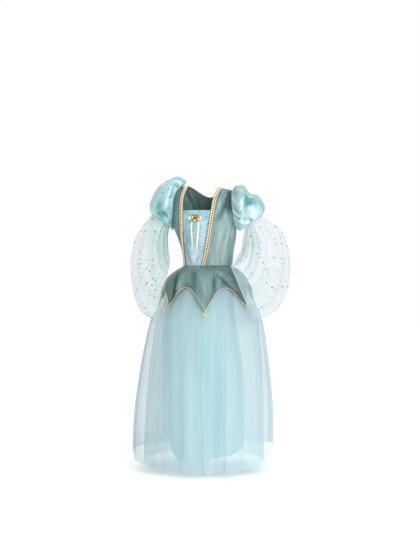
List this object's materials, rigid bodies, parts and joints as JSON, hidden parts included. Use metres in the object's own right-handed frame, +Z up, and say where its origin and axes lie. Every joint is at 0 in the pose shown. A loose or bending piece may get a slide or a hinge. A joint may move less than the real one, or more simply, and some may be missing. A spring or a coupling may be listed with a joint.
{
  "type": "princess costume dress",
  "caption": "Child's full-length princess costume dress in its worn, hollow form: braid-edged bodice, puff and sheer bell sleeves, petal peplum and layered tulle skirt.",
  "frame": {"origin": "between the two shoulder seams, midway from side to side, where the wearer's shoulders hold the dress up", "axes": "+Z up, the front of the dress faces -Y, +X to the right as seen from the front"},
  "size_m": [0.5895, 0.5129, 1.0814],
  "materials": {
    "velour": "napped sage velour",
    "brocade": "pale aqua brocade with a shimmer",
    "braid": "gold beaded braid",
    "satin": "aqua satin",
    "organza": "sheer glitter organza",
    "tulle": "sheer tulle",
    "lining": "aqua lining",
    "cord": "pale gold twisted cord",
    "ribbon": "ivory satin ribbon",
    "gilt": "gold-coloured trim"
  },
  "bodies": {
    "root": {"bodice_front_left": "velour", "bodice_front_right": "velour", "bodice_back_left": "velour", "bodice_back_right": "velour", "insert": "brocade", "braid_left": "braid", "braid_right": "braid", "puff_left": "satin", "puff_right": "satin", "bell_left": "organza", "bell_right": "organza", "lining_front": "lining", "lining_back": "lining", "tulle_inner_front": "tulle", "tulle_inner_back": "tulle", "tulle_outer_front": "tulle", "tulle_outer_back": "tulle", "peplum_front": "velour", "peplum_back_left": "velour", "peplum_back_right": "velour", "cord_front": "cord", "cord_back_left": "cord", "cord_back_right": "cord", "star_1": "gilt", "star_2": "gilt", "star_3": "gilt", "star_4": "gilt", "star_5": "gilt", "star_6": "gilt", "star_7": "gilt", "bow": "ribbon", "rosette": "gilt", "tail_left": "ribbon", "tail_right": "ribbon"}
  },
  "joints": []
}
